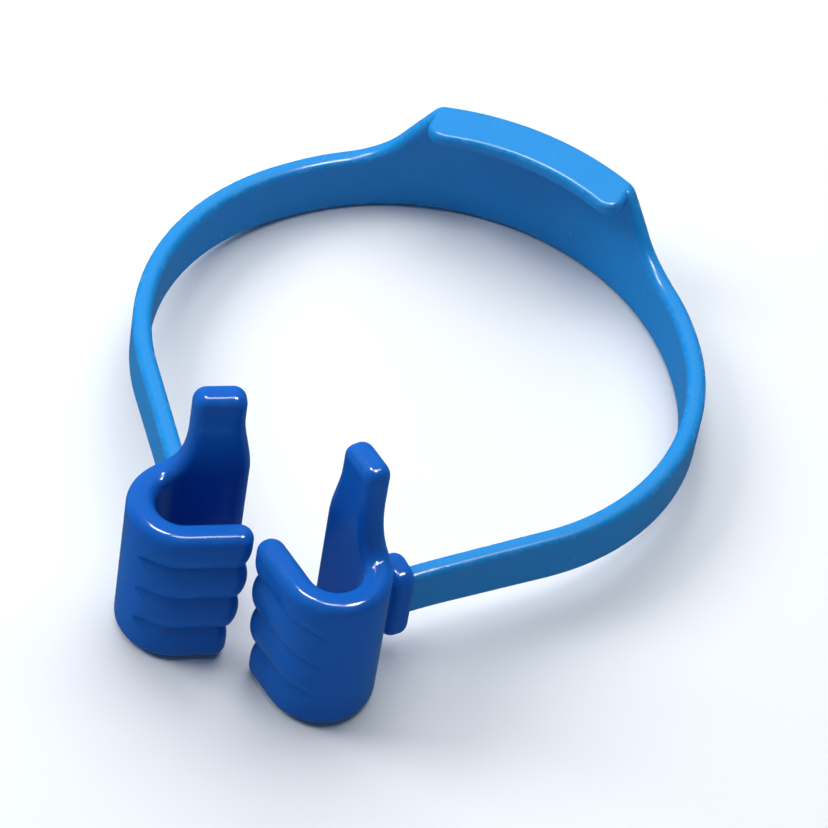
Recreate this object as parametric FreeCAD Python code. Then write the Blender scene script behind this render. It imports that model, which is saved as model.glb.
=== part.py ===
import FreeCAD, Part

# Hand-shaped phone stand: two moulded fists with raised thumbs on the ends of one springy band.
# Millimetres. X runs across the two hands, Y runs from the fingers back to the tab, Z is up.
# The stand sits on the table on both fists and on the back of the band.
import math
import os

Vector = FreeCAD.Vector

# Fist: a channel, open above and below, that a phone's edge slides into
SLOT_WIDTH = 8.6
WALL = 4.6
EDGE_ROUND = 1.9
FINGER_COUNT = 4
FINGER_HEIGHT = 7.1
FINGER_REACH = 10.2
LITTLE_FINGER_SETBACK = 2.2
GROOVE_DEPTH = 0.8
KNUCKLE_ANGLE = 30.0

# Thumb: the palm's wall carried up past the fingers, with a web down to the fist's rim
PALM_REACH = 10.8
PALM_CORNER = 2.5
THUMB_RISE = 17.0
THUMB_WIDTH = 8.4
THUMB_CORNER = 2.2
THUMB_SETBACK = 1.7
THUMB_WAIST = 9.5
WEB_TOE = 4.1

# Wrist: a short neck and a cuff behind the palm, with a socket for the end of the band
WRIST_OFFSET = 2.8
WRIST_LEAN = 6.0
WRIST_HEIGHT = 12.0
NECK_LENGTH = 2.6
NECK_WIDTH = 5.6
NECK_HEIGHT = 11.8
NECK_CORNER = 2.0
NECK_BLEND = 0.8
CUFF_LENGTH = 4.4
CUFF_WIDTH = 7.4
CUFF_HEIGHT = 14.8
CUFF_CORNER = 2.8
CUFF_ROUND = 1.8
SOCKET_CLEARANCE = 0.1

# Band: one loop, narrow at the wrists and wide at the back, where it lies on the table
LOOP_RADIUS = 46.0
BAND_THICKNESS = 3.2
BAND_ROUND = 1.3
WRIST_WIDTH = 9.0
BACK_WIDTH = 11.5
BACK_LEVEL = 4.7
SLOPE_BLEND = 60.0

# Tab: the raised middle of the band, with a ledge turned in along its top
TAB_LENGTH = 36.0
TAB_HEIGHT = 22.4
TAB_SLOPE = 54.0
TAB_FOOT_BLEND = 9.0
TAB_CORNER = 2.2
LEDGE_DEPTH = 8.2
LEDGE_THICKNESS = 2.8
LEDGE_CORNER = 2.8
LEDGE_ROUND = 1.1

# How the two hands stand to each other
HAND_TURN = 33.0
HAND_GAP = 1.0

FIST_HEIGHT = FINGER_COUNT * FINGER_HEIGHT
INNER_RADIUS = SLOT_WIDTH / 2
MIDDLE_RADIUS = INNER_RADIUS + WALL / 2
OUTER_RADIUS = INNER_RADIUS + WALL
THUMB_TOP = FIST_HEIGHT + THUMB_RISE
WRIST_LENGTH = NECK_LENGTH + CUFF_LENGTH
BAND_HEADING = math.radians(HAND_TURN + WRIST_LEAN)
BAND_INSIDE = LOOP_RADIUS - BAND_THICKNESS / 2
BAND_OUTSIDE = LOOP_RADIUS + BAND_THICKNESS / 2

# The tab's foot, the end of its blend into the band, and the start of the band's level back in front of it
TAB_RISE = math.radians(TAB_SLOPE)
TAB_FOOT = TAB_LENGTH / 2 + (TAB_HEIGHT - BACK_WIDTH) / math.tan(TAB_RISE)
TAB_END = TAB_FOOT + TAB_FOOT_BLEND * math.tan(TAB_RISE / 2)
BACK_START = math.sqrt(BAND_INSIDE ** 2 - TAB_END ** 2) - BACK_LEVEL

# Lengths that reach well past a hand and past the loop, for shapes that are trimmed later
HAND_CLEAR = 3 * OUTER_RADIUS
LOOP_CLEAR = 2 * LOOP_RADIUS

ORIGIN = Vector(0, 0, 0)
SIDEWAYS = Vector(1, 0, 0)
BACKWARDS = Vector(0, 1, 0)
UP = Vector(0, 0, 1)

# The middle of a quarter round, from its corner along each side, for a radius of one
HALF_CORNER = 1 - math.sqrt(0.5)

# Faces that turn by less than this meet smoothly
TANGENT_LIMIT = math.radians(20)


def front(x, z):
    """A point in the upright plane through X."""
    return Vector(x, 0, z)


def line(start, end):
    return Part.LineSegment(start, end)


def corner_arc(start, corner, end, radius):
    """A quarter round inside a square corner."""
    inward = (start - corner).normalize() + (end - corner).normalize()
    return Part.Arc(start, corner + inward * (radius * HALF_CORNER), end)


def face_of(curves):
    edges = [curve.toShape() for curve in curves]
    return Part.Face(Part.Wire(Part.__sortEdges__(edges)))


def rounded_face(corners):
    """A flat face from a closed run of (point, corner radius)."""
    arcs = []
    for index, (point, radius) in enumerate(corners):
        before = (corners[index - 1][0] - point).normalize()
        after = (corners[(index + 1) % len(corners)][0] - point).normalize()
        half = before.getAngle(after) / 2
        setback = radius / math.tan(half)
        middle = point + (before + after).normalize() * (radius / math.sin(half) - radius)
        arcs.append((point + before * setback, middle, point + after * setback))
    curves = []
    for index, (start, middle, end) in enumerate(arcs):
        if start != end:
            curves.append(Part.Arc(start, middle, end))
        curves.append(line(end, arcs[(index + 1) % len(arcs)][0]))
    return face_of(curves)


def joined(solids):
    return solids[0].multiFuse(solids[1:]).removeSplitter()


def sharp_edges(solid):
    """Each edge where two faces meet at a corner, with the two faces."""
    found = []
    for edge in solid.Edges:
        faces = solid.ancestorsOfType(edge, Part.Face)
        point = edge.valueAt((edge.FirstParameter + edge.LastParameter) / 2)
        normals = [face.normalAt(*face.Surface.parameter(point)) for face in faces]
        if len(faces) == 2 and normals[0].getAngle(normals[1]) > TANGENT_LIMIT:
            found.append((edge, faces))
    return found


def groove_side(crest, end):
    """One side of a groove between fingers: the arc from the groove's bottom out to a finger's crest."""
    half = WALL / 2
    rise = abs(crest - end)
    radius = (rise ** 2 + GROOVE_DEPTH ** 2) / (2 * GROOVE_DEPTH)
    drop = radius - math.sqrt(radius ** 2 - rise ** 2 / 4)
    middle = front(half - drop, (crest + end) / 2)
    return Part.Arc(front(half - GROOVE_DEPTH, end), middle, front(half, crest))


def finger_flank(crest, end, kind):
    """Half the height of a finger's section, from the middle of the wall out to the finger's crest."""
    half = WALL / 2
    if kind == "rim":
        turn = end + math.copysign(EDGE_ROUND, crest - end)
        rim, side = front(half - EDGE_ROUND, end), front(half, turn)
        rounding = corner_arc(rim, front(half, end), side, EDGE_ROUND)
        return [line(front(0, end), rim), rounding, line(side, front(half, crest))]
    if kind == "flat":
        return [line(front(0, end), front(half, end)), line(front(half, end), front(half, crest))]
    return [line(front(0, end), front(half - GROOVE_DEPTH, end)), groove_side(crest, end)]


def finger_section(row, between):
    """Half of one finger's section, with a groove between fingers outside or a flat wall in the slot."""
    low = row * FINGER_HEIGHT
    high = low + FINGER_HEIGHT
    crest = (low + high) / 2
    below = "rim" if row == 0 else between
    above = "rim" if row == FINGER_COUNT - 1 else between
    spine = line(front(0, low), front(0, high))
    return face_of(finger_flank(crest, low, below) + finger_flank(crest, high, above) + [spine])


def finger(row):
    """One finger: round the knuckle, straight along the slot and round its tip."""
    rows_down = (FINGER_COUNT - 1 - row) / (FINGER_COUNT - 1)
    straight = FINGER_REACH - LITTLE_FINGER_SETBACK * rows_down ** 2 - WALL / 2
    solids = []
    for between, facing in (("groove", -90), ("flat", 90)):
        section = finger_section(row, between)
        section.rotate(ORIGIN, UP, facing)
        section.translate(BACKWARDS * -MIDDLE_RADIUS)
        solids.append(section.revolve(ORIGIN, UP, -KNUCKLE_ANGLE))
        solids.append(section.extrude(SIDEWAYS * straight))
    tip = finger_section(row, "groove")
    tip.rotate(ORIGIN, UP, -90)
    tip.translate(Vector(straight, -MIDDLE_RADIUS, 0))
    solids.append(tip.revolve(Vector(straight, -MIDDLE_RADIUS, 0), UP, 180))
    return joined(solids)


def groove_ends():
    """Cutters that carry the grooves straight on past the knuckles, so that they run out of the hand's back."""
    near, far = WALL / 2, WALL
    cutters = []
    for row in range(1, FINGER_COUNT):
        level = row * FINGER_HEIGHT
        below, above = level - FINGER_HEIGHT / 2, level + FINGER_HEIGHT / 2
        section = face_of([
            groove_side(below, level),
            groove_side(above, level),
            line(front(near, above), front(far, above)),
            line(front(far, above), front(far, below)),
            line(front(far, below), front(near, below)),
        ])
        section.rotate(ORIGIN, UP, -90)
        section.translate(BACKWARDS * -MIDDLE_RADIUS)
        cutter = section.extrude(SIDEWAYS * -OUTER_RADIUS)
        cutter.rotate(ORIGIN, UP, -KNUCKLE_ANGLE)
        cutters.append(cutter)
    return cutters


def hand_plan():
    """The back of the hand and the palm from above, from the knuckles round the bend and past the edge."""
    seam = math.radians(270 - KNUCKLE_ANGLE)
    side = (seam + math.pi / 2) / 2
    past = PALM_REACH + HAND_CLEAR

    def on(radius, angle):
        return Vector(radius * math.cos(angle), radius * math.sin(angle), 0)

    inside, outside = Vector(0, INNER_RADIUS, 0), Vector(0, OUTER_RADIUS, 0)
    return face_of([
        line(on(INNER_RADIUS, seam), on(OUTER_RADIUS, seam)),
        Part.Arc(on(OUTER_RADIUS, seam), on(OUTER_RADIUS, side), outside),
        line(outside, outside + SIDEWAYS * past),
        line(outside + SIDEWAYS * past, inside + SIDEWAYS * past),
        line(inside + SIDEWAYS * past, inside),
        Part.Arc(inside, on(INNER_RADIUS, side), on(INNER_RADIUS, seam)),
    ])


def thumb_front():
    """The thumb and its web seen along Y, reaching down into the palm."""
    right = PALM_REACH - THUMB_SETBACK
    left = right - THUMB_WIDTH
    toe = -WEB_TOE
    rim = FIST_HEIGHT
    waist = rim + THUMB_WAIST
    shoulder = THUMB_TOP - THUMB_CORNER
    joint = (waist + shoulder) / 2
    sunk = rim / 2
    web = Part.BezierCurve()
    web.setPoles([front(toe, rim), front((toe + 2 * left) / 3, rim),
                  front(left, (2 * rim + waist) / 3), front(left, waist)])
    ball = Part.BezierCurve()
    ball.setPoles([front(right, joint), front(right, (2 * joint + rim) / 3),
                   front(PALM_REACH, (joint + 2 * rim) / 3), front(PALM_REACH, rim)])
    left_top = front(left + THUMB_CORNER, THUMB_TOP)
    right_top = front(right - THUMB_CORNER, THUMB_TOP)
    return face_of([
        line(front(toe, sunk), front(toe, rim)),
        web,
        line(front(left, waist), front(left, shoulder)),
        corner_arc(front(left, shoulder), front(left, THUMB_TOP), left_top, THUMB_CORNER),
        line(left_top, right_top),
        corner_arc(right_top, front(right, THUMB_TOP), front(right, shoulder), THUMB_CORNER),
        line(front(right, shoulder), front(right, joint)),
        ball,
        line(front(PALM_REACH, rim), front(PALM_REACH, sunk)),
        line(front(PALM_REACH, sunk), front(toe, sunk)),
    ])


def palm_and_thumb():
    """The hand without its fingers, rounded along every edge but the seam where the knuckles join it."""
    column = hand_plan().extrude(UP * THUMB_TOP)
    fist = rounded_face([
        (front(-HAND_CLEAR, 0), 0),
        (front(PALM_REACH, 0), PALM_CORNER),
        (front(PALM_REACH, FIST_HEIGHT), 0),
        (front(-HAND_CLEAR, FIST_HEIGHT), 0),
    ]).extrude(BACKWARDS * 2 * HAND_CLEAR)
    fist.translate(BACKWARDS * -HAND_CLEAR)
    thumb = thumb_front().extrude(BACKWARDS * HAND_CLEAR)
    solid = column.common(joined([fist, thumb])).removeSplitter()
    turn = math.radians(KNUCKLE_ANGLE)
    across_seam = Vector(math.cos(turn), -math.sin(turn), 0)

    def is_seam(face):
        flat = isinstance(face.Surface, Part.Plane)
        return flat and abs(face.Surface.Axis.dot(across_seam)) > math.cos(TANGENT_LIMIT)

    rims = [edge for edge, faces in sharp_edges(solid) if not any(is_seam(face) for face in faces)]
    return solid.makeFillet(EDGE_ROUND, rims)


def bar(width, height, length, corner):
    """A bar along Y with rounded long edges, centred on X and on the wrist's height."""
    low, high = WRIST_HEIGHT - height / 2, WRIST_HEIGHT + height / 2
    right = width / 2
    section = rounded_face([
        (front(-right, low), corner),
        (front(right, low), corner),
        (front(right, high), corner),
        (front(-right, high), corner),
    ])
    return section.extrude(BACKWARDS * length)


def on_wrist(shape, start):
    """Moves a shape from the Y axis to the wrist's axis, starting that far behind the palm."""
    shape.translate(BACKWARDS * start)
    shape.rotate(ORIGIN, UP, WRIST_LEAN)
    shape.translate(Vector(WRIST_OFFSET, OUTER_RADIUS, 0))
    return shape


def wrist():
    """The neck, rooted in the palm's wall, and the cuff at its end, blended into each other."""
    cuff = bar(CUFF_WIDTH, CUFF_HEIGHT, CUFF_LENGTH, CUFF_CORNER)
    cuff = cuff.makeFillet(CUFF_ROUND, [edge for edge, faces in sharp_edges(cuff)])
    cuff.translate(BACKWARDS * NECK_LENGTH)
    root = WALL / 2
    neck = bar(NECK_WIDTH, NECK_HEIGHT, root + NECK_LENGTH + CUFF_LENGTH / 2, NECK_CORNER)
    neck.translate(BACKWARDS * -root)
    solid = joined([neck, cuff])
    meeting = [edge for edge, faces in sharp_edges(solid) if edge.CenterOfMass.y > 0]
    return on_wrist(solid.makeFillet(NECK_BLEND, meeting), 0)


def socket():
    """The hole for the band's end, through the cuff and the neck up to the palm."""
    gap = 2 * SOCKET_CLEARANCE
    corner = BAND_ROUND + SOCKET_CLEARANCE
    return on_wrist(bar(BAND_THICKNESS + gap, WRIST_WIDTH + gap, 2 * WRIST_LENGTH, corner), 0)


def left_hand():
    """The left hand as it stands in the loop, and the middle of its cuff's open end."""
    fingers = [finger(row) for row in range(FINGER_COUNT)]
    hand = joined([palm_and_thumb(), wrist()])
    behind = [edge for edge, faces in sharp_edges(hand) if edge.CenterOfMass.y > OUTER_RADIUS - NECK_BLEND / 2]
    hand = hand.makeFillet(NECK_BLEND, behind).cut(groove_ends())
    solid = joined(fingers + [hand]).cut(socket()).Solids[0]
    mouth = on_wrist(Part.Vertex(ORIGIN), WRIST_LENGTH)
    for shape in (solid, mouth):
        shape.rotate(ORIGIN, UP, HAND_TURN)

    # The cuff's mouth is set on the line that leaves the loop at its tangent
    shift_x = -HAND_GAP / 2 - solid.optimalBoundingBox().XMax
    tangent_x = -LOOP_RADIUS * math.cos(BAND_HEADING)
    tangent_y = -LOOP_RADIUS * math.sin(BAND_HEADING)
    mouth_y = tangent_y - (mouth.Point.x + shift_x - tangent_x) / math.tan(BAND_HEADING)
    shift = Vector(shift_x, mouth_y - mouth.Point.y, 0)
    for shape in (solid, mouth):
        shape.translate(shift)
    return solid, mouth.Point


def band_plan(mouth):
    """The band seen from above: tongue and straight run out of each cuff, then one round loop."""
    along = Vector(math.sin(BAND_HEADING), math.cos(BAND_HEADING), 0)
    outward = Vector(math.cos(BAND_HEADING), -math.sin(BAND_HEADING), 0)
    right_mouth = Vector(-mouth.x, mouth.y, 0)
    run = (outward * LOOP_RADIUS - right_mouth).Length
    tongue = WRIST_LENGTH - SOCKET_CLEARANCE

    def mirrored(point):
        return Vector(-point.x, point.y, 0)

    curves, ends = [], []
    for radius in (BAND_INSIDE, BAND_OUTSIDE):
        leave = outward * radius
        end = leave - along * (run + tongue)
        curves.append(line(end, leave))
        curves.append(Part.Arc(leave, BACKWARDS * radius, mirrored(leave)))
        curves.append(line(mirrored(leave), mirrored(end)))
        ends.append(end)
    curves.append(line(ends[0], ends[1]))
    curves.append(line(mirrored(ends[0]), mirrored(ends[1])))
    return face_of(curves)


def band_side(mouth):
    """The band seen along X: level in the cuffs, then down to the table, growing wider to the back."""

    def side(y, z):
        return Vector(0, y, z)

    low, high = WRIST_HEIGHT - WRIST_WIDTH / 2, WRIST_HEIGHT + WRIST_WIDTH / 2
    slope = math.atan2(low, BACK_START - mouth.y)
    level_end = mouth.y + SLOPE_BLEND * math.tan(slope / 2)
    return rounded_face([
        (side(-LOOP_CLEAR, low), 0),
        (side(level_end, low), SLOPE_BLEND),
        (side(BACK_START, 0), SLOPE_BLEND),
        (side(LOOP_CLEAR, 0), 0),
        (side(LOOP_CLEAR, BACK_WIDTH), 0),
        (side(BACK_START, BACK_WIDTH), SLOPE_BLEND),
        (side(level_end, high), SLOPE_BLEND),
        (side(-LOOP_CLEAR, high), 0),
    ])


def tab_front():
    """The raised tab seen along Y."""
    top = TAB_LENGTH / 2
    past = TAB_END + BACK_LEVEL / 4
    sunk = BACK_WIDTH / 2
    return rounded_face([
        (front(-past, sunk), 0),
        (front(-past, BACK_WIDTH), 0),
        (front(-TAB_FOOT, BACK_WIDTH), TAB_FOOT_BLEND),
        (front(-top, TAB_HEIGHT), TAB_CORNER),
        (front(top, TAB_HEIGHT), TAB_CORNER),
        (front(TAB_FOOT, BACK_WIDTH), TAB_FOOT_BLEND),
        (front(past, BACK_WIDTH), 0),
        (front(past, sunk), 0),
    ])


def ledge():
    """The flat ledge along the tab's top, with rounded inner corners."""
    inner = BAND_OUTSIDE - LEDGE_DEPTH
    end = TAB_LENGTH / 2

    def on(radius, x):
        return Vector(x, math.sqrt(radius ** 2 - x ** 2), TAB_HEIGHT - LEDGE_THICKNESS)

    solid = face_of([
        line(on(LOOP_RADIUS, -end), on(inner, -end)),
        Part.Arc(on(inner, -end), on(inner, 0), on(inner, end)),
        line(on(inner, end), on(LOOP_RADIUS, end)),
        Part.Arc(on(LOOP_RADIUS, end), on(LOOP_RADIUS, 0), on(LOOP_RADIUS, -end)),
    ]).extrude(UP * LEDGE_THICKNESS)
    front_of_ends = on(inner, end).y + LEDGE_CORNER / 2
    upright = [edge for edge, faces in sharp_edges(solid) if edge.tangentAt(edge.FirstParameter).z != 0]
    inner_corners = [edge for edge in upright if edge.CenterOfMass.y < front_of_ends]
    solid = solid.makeFillet(LEDGE_CORNER, inner_corners)
    inside_band = on(LOOP_RADIUS, end).y - LEDGE_ROUND
    lips = [edge for edge, faces in sharp_edges(solid) if edge.CenterOfMass.y < inside_band]
    return solid.makeFillet(LEDGE_ROUND, lips)


def band(mouth):
    """The loop with its tab and ledge, rounded along every edge."""
    ring = band_plan(mouth).extrude(UP * 2 * TAB_HEIGHT)
    ring.translate(UP * -TAB_HEIGHT)
    side = band_side(mouth).extrude(SIDEWAYS * 2 * LOOP_CLEAR)
    side.translate(SIDEWAYS * -LOOP_CLEAR)
    tab = tab_front().extrude(BACKWARDS * LOOP_CLEAR)
    strip = ring.common(joined([side, tab])).removeSplitter()
    strip = strip.makeFillet(BAND_ROUND, [edge for edge, faces in sharp_edges(strip)])
    return joined([strip, ledge()]).Solids[0]


os.makedirs("parts", exist_ok=True)
left, left_mouth = left_hand()
right = left.mirror(ORIGIN, SIDEWAYS)
loop = band(left_mouth)
solids = {"left_hand": left, "right_hand": right, "band": loop}
whole = Part.Compound(list(solids.values())).optimalBoundingBox()
for name, solid in solids.items():
    solid.translate(Vector(0, -whole.Center.y, -whole.ZMin))
    solid.exportStep(f"parts/{name}.step")
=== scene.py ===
import math

import bpy
from mathutils import Matrix, Vector

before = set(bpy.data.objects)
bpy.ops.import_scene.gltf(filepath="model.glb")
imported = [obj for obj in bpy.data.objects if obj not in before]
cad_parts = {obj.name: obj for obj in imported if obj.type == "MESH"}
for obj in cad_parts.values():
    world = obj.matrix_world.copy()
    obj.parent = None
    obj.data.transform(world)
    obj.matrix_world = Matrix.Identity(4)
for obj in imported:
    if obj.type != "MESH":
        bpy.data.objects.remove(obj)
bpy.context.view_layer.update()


# The band is one springy loop of light blue plastic, moulded in one shot with its raised tab and ledge.
# Its skin is polished by the mould and faintly marbled where the melt flowed. The edge that lies on the
# table is scuffed, and the rounded edges are rubbed by handling.
class Wire:
    """One output in a material's node tree, so that a finish is written as sums and products."""

    def __init__(self, tree, output=None):
        self.tree = tree
        self.output = output

    def node(self, kind, settings, sockets, output=0):
        """Adds a node, sets it up, then fills its sockets with values or wires."""
        made = self.tree.nodes.new(kind)
        for name, value in settings.items():
            setattr(made, name, value)
        for socket, value in sockets.items():
            if isinstance(value, Wire):
                self.tree.links.new(value.output, made.inputs[socket])
            else:
                made.inputs[socket].default_value = value
        return Wire(self.tree, made.outputs[output]) if made.outputs else None

    def maths(self, operation, first, second):
        return self.node("ShaderNodeMath", {"operation": operation}, {0: first, 1: second})

    def __add__(self, other):
        return self.maths("ADD", self, other)

    def __sub__(self, other):
        return self.maths("SUBTRACT", self, other)

    def __rsub__(self, other):
        return self.maths("SUBTRACT", other, self)

    def __mul__(self, other):
        return self.maths("MULTIPLY", self, other)

    __radd__ = __add__
    __rmul__ = __mul__

    def noise(self, place, scale, detail):
        return self.node("ShaderNodeTexNoise", {},
                         {"Vector": place, "Scale": scale, "Detail": detail}, "Fac")

    def between(self, low, high):
        """Nought below the first value and one above the second, with a smooth rise between them."""
        return self.node("ShaderNodeMapRange", {"interpolation_type": "SMOOTHSTEP"},
                         {"Value": self, "From Min": low, "From Max": high})

    def mix_colours(self, first, second):
        """The first colour where this value is nought, the second where it is one."""
        factor, colour_a, colour_b, colour_out = 0, 6, 7, 2
        return self.node("ShaderNodeMix", {"data_type": "RGBA"},
                         {factor: self, colour_a: first, colour_b: second}, colour_out)


def moulded_plastic(name, shade, deep_shade, rubbed_shade, base_roughness):
    """Polished moulding in two close shades, paler where its edges are rubbed and its foot is scuffed."""
    material = bpy.data.materials.new(name)
    material.use_nodes = True
    tree = material.node_tree
    tree.nodes.clear()
    start = Wire(tree)
    place = start.node("ShaderNodeTexCoord", {}, {}, "Object")
    height = start.node("ShaderNodeSeparateXYZ", {}, {0: place}, "Z")
    outward = start.node("ShaderNodeTexCoord", {}, {}, "Normal")
    upward = start.node("ShaderNodeSeparateXYZ", {}, {0: outward}, "Z")

    # Wear: fine scratches across the skin, rubbing where a rounded edge faces partly upward, and scuffs on
    # the foot, which is the last millimetre or so above the table.
    across = start.node("ShaderNodeMapping", {}, {
        "Vector": place, "Rotation": (0.2, 0.1, 0.6), "Scale": (14.0, 1.0, 6.0)})
    scratches = start.noise(across, scale=230.0, detail=4.0).between(0.58, 0.70)
    edge = upward.between(0.20, 0.55) * (1 - upward.between(0.80, 0.98))
    foot = 1 - height.between(0.0004, 0.0016)
    edge_share = 0.6
    patches = start.noise(place, scale=320.0, detail=4.0).between(0.44, 0.66)
    rubbing = (edge * edge_share + foot) * patches

    # Colour: the two shades swirl as the melt flowed, with fine pigment over them, and pale with rubbing.
    flow_lines = start.node("ShaderNodeMapping", {}, {"Vector": place, "Scale": (1.0, 1.0, 2.5)})
    marbling = start.noise(flow_lines, scale=42.0, detail=3.0)
    pigment = start.noise(place, scale=2600.0, detail=1.0)
    marbling_share, pigment_share = 0.8, 0.2
    clean = (marbling * marbling_share + pigment * pigment_share).mix_colours(deep_shade, shade)
    rub_paleness = 0.3
    colour = (rubbing * rub_paleness).mix_colours(clean, rubbed_shade)

    # Gloss: dulled in places by handling, scratches and rubbing.
    handling = start.noise(place, scale=95.0, detail=3.0)
    handling_dulls, scratches_dull, rubbing_dulls = 0.08, 0.03, 0.10
    roughness = (base_roughness + handling * handling_dulls + scratches * scratches_dull
                 + rubbing * rubbing_dulls)

    # Relief: the slow ripple of a moulded face, a fine grain, and the wear cut into it.
    ripple = start.noise(place, scale=75.0, detail=1.0)
    grain = start.noise(place, scale=1500.0, detail=2.0)
    grain_height, scratch_depth, rub_depth = 0.04, 0.015, 0.03
    relief = ripple + grain * grain_height - scratches * scratch_depth - rubbing * rub_depth
    bump = start.node("ShaderNodeBump", {}, {
        "Strength": 0.12, "Distance": 0.0003, "Height": relief}, "Normal")

    surface = start.node("ShaderNodeBsdfPrincipled", {}, {
        "Base Color": colour, "Roughness": roughness, "Normal": bump})
    start.node("ShaderNodeOutputMaterial", {}, {"Surface": surface})
    return material


band_blue = moulded_plastic(
    "band_blue",
    shade=(0.011, 0.253, 0.640, 1),
    deep_shade=(0.008, 0.222, 0.588, 1),
    rubbed_shade=(0.062, 0.315, 0.675, 1),
    base_roughness=0.20)
for material_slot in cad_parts["band"].material_slots:
    material_slot.material = band_blue

# The hands are two mouldings of royal blue plastic in mirror image: a fist with grooves between its fingers,
# a raised thumb, and a cuff on a short neck. They slip over the band's two tongues, and they are a little
# glossier than the band.
hand_blue = moulded_plastic(
    "hand_blue",
    shade=(0.008, 0.120, 0.512, 1),
    deep_shade=(0.006, 0.100, 0.457, 1),
    rubbed_shade=(0.033, 0.160, 0.538, 1),
    base_roughness=0.08)
for side in ("left_hand", "right_hand"):
    for material_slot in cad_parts[side].material_slots:
        material_slot.material = hand_blue

# The floor is a plain white sheet that the stand rests on, matt and wide enough to fill the view. The gloss
# of the stand doesn't mirror it, so the upright faces keep their deep colour.
floor_half = 1.5
floor_corners = [(-floor_half, -floor_half, 0), (floor_half, -floor_half, 0),
                 (floor_half, floor_half, 0), (-floor_half, floor_half, 0)]
floor_mesh = bpy.data.meshes.new("floor")
floor_mesh.from_pydata(floor_corners, [], [(0, 1, 2, 3)])
floor = bpy.data.objects.new("floor", floor_mesh)
bpy.context.scene.collection.objects.link(floor)
floor_white = bpy.data.materials.new("floor_white")
floor_white.use_nodes = True
sheet = floor_white.node_tree.nodes["Principled BSDF"]
sheet.inputs["Base Color"].default_value = (0.73, 0.74, 0.76, 1)
sheet.inputs["Roughness"].default_value = 0.7
floor_mesh.materials.append(floor_white)
floor.visible_glossy = False


# Studio light: a softbox on each side, wide ones above and behind, and a dim blue room. The softboxes don't
# show in the gloss. Three bright panels overhead shed no light on the stand or the floor, and show only as
# glints along the rounded edges.
def softbox(name, place, width, length, power):
    """A rectangular lamp that faces the middle of the stand."""
    lamp = bpy.data.lights.new(name, "AREA")
    lamp.shape = "RECTANGLE"
    lamp.size = width
    lamp.size_y = length
    lamp.energy = power
    light = bpy.data.objects.new(name, lamp)
    bpy.context.scene.collection.objects.link(light)
    light.location = place
    light.rotation_euler = (-Vector(place)).to_track_quat("-Z", "Y").to_euler()
    return light


for name, place, width, length, power in (
        ("left_box", (-0.55, -0.14, 0.56), 0.30, 0.40, 3.5),
        ("right_box", (0.26, 0.40, 0.72), 0.30, 0.40, 1.1),
        ("overhead_box", (-0.06, 0.10, 0.90), 0.50, 0.50, 3.4),
        ("back_box", (-0.33, 0.54, 0.62), 1.00, 0.80, 6.2)):
    softbox(name, place, width, length, power).visible_glossy = False
glint_side = 0.22
for name, place, power in (
        ("left_glint", (-0.26, 0.02, 0.86), 4.0),
        ("right_glint", (0.30, 0.06, 0.86), 7.0),
        ("top_glint", (0.02, -0.04, 0.90), 2.0)):
    softbox(name, place, glint_side, glint_side, power).visible_diffuse = False
room = bpy.data.worlds.new("room")
room.use_nodes = True
room_light = room.node_tree.nodes["Background"]
room_light.inputs["Color"].default_value = (0.40, 0.72, 1.0, 1)
room_light.inputs["Strength"].default_value = 0.15
bpy.context.scene.world = room
bpy.context.scene.view_settings.view_transform = "Standard"

# The camera looks down on the stand from the front right, from arm's length, tipped a little to the left.
# Its view is narrow, so that the stand fills the square picture.
eye = Vector((0.155, -0.472, 0.545))
aim = Vector((0.0053, -0.0018, 0.012))
tip = math.radians(10.2)
view_angle = math.radians(10.56)
look = (aim - eye).to_track_quat("-Z", "Y").to_matrix().to_4x4()
camera_data = bpy.data.cameras.new("camera")
camera_data.sensor_width = 36.0
camera_data.sensor_height = 36.0
camera_data.angle = view_angle
camera = bpy.data.objects.new("camera", camera_data)
bpy.context.scene.collection.objects.link(camera)
camera.matrix_world = Matrix.Translation(eye) @ look @ Matrix.Rotation(tip, 4, "Z")
bpy.context.scene.camera = camera
